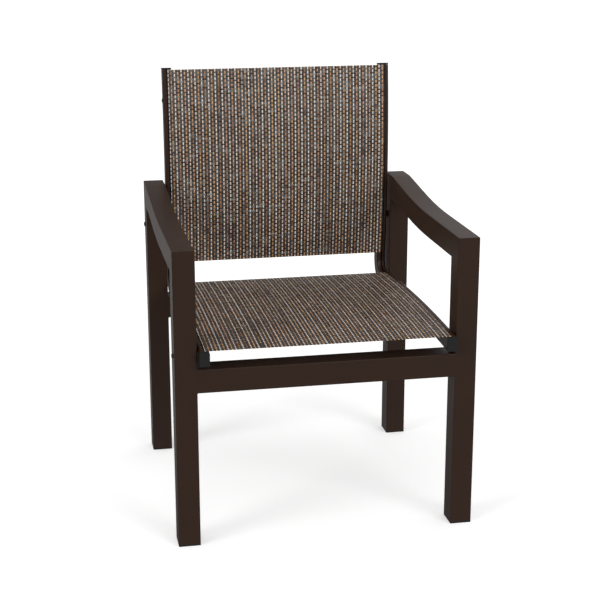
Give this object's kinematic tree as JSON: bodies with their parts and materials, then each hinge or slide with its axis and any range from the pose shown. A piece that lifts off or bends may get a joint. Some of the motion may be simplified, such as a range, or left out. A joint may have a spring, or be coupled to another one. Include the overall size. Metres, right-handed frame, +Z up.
{
  "type": "sling patio chair",
  "caption": "Stationary patio armchair with a welded rectangular tube frame and a stretched mesh sling seat and back.",
  "frame": {"origin": "middle of the footprint's bounding box, on the floor under the foot glides", "axes": "+X to the right as seen from the front, +Y from the front legs to the back, +Z up"},
  "size_m": [0.6284, 0.616, 0.9091],
  "materials": {
    "powder_coat": "dark bronze powder coat, satin",
    "sling_cloth": "vinyl-coated mesh woven in charcoal, cream and orange",
    "black_plastic": "moulded black nylon, matt",
    "dark_hardware": "dark coated stainless steel",
    "bare_steel": "plain stainless steel"
  },
  "bodies": {
    "root": {"left_front_leg": "powder_coat", "right_front_leg": "powder_coat", "left_rear_leg": "powder_coat", "right_rear_leg": "powder_coat", "left_arm": "powder_coat", "right_arm": "powder_coat", "front_rail": "powder_coat", "rear_rail": "powder_coat", "left_sling_rail": "powder_coat", "right_sling_rail": "powder_coat", "seat_spreader_bar": "powder_coat", "back_spreader_bar": "powder_coat", "seat_sling": "sling_cloth", "back_sling": "sling_cloth", "left_front_cap": "black_plastic", "right_front_cap": "black_plastic", "left_top_cap": "black_plastic", "right_top_cap": "black_plastic", "left_seat_spline": "black_plastic", "right_seat_spline": "black_plastic", "left_back_spline": "black_plastic", "right_back_spline": "black_plastic", "left_front_spacer": "black_plastic", "right_front_spacer": "black_plastic", "left_rear_spacer": "black_plastic", "right_rear_spacer": "black_plastic", "left_front_glide": "black_plastic", "right_front_glide": "black_plastic", "left_rear_glide": "black_plastic", "right_rear_glide": "black_plastic", "left_front_bolt": "dark_hardware", "right_front_bolt": "dark_hardware", "left_rear_bolt": "dark_hardware", "right_rear_bolt": "dark_hardware", "left_seat_spreader_screw": "dark_hardware", "right_seat_spreader_screw": "dark_hardware", "left_back_spreader_screw": "dark_hardware", "right_back_spreader_screw": "dark_hardware", "left_front_insert": "bare_steel", "right_front_insert": "bare_steel", "left_rear_insert": "bare_steel", "right_rear_insert": "bare_steel", "left_seat_spreader_plug": "bare_steel", "right_seat_spreader_plug": "bare_steel", "left_back_spreader_plug": "bare_steel", "right_back_spreader_plug": "bare_steel"}
  },
  "joints": []
}
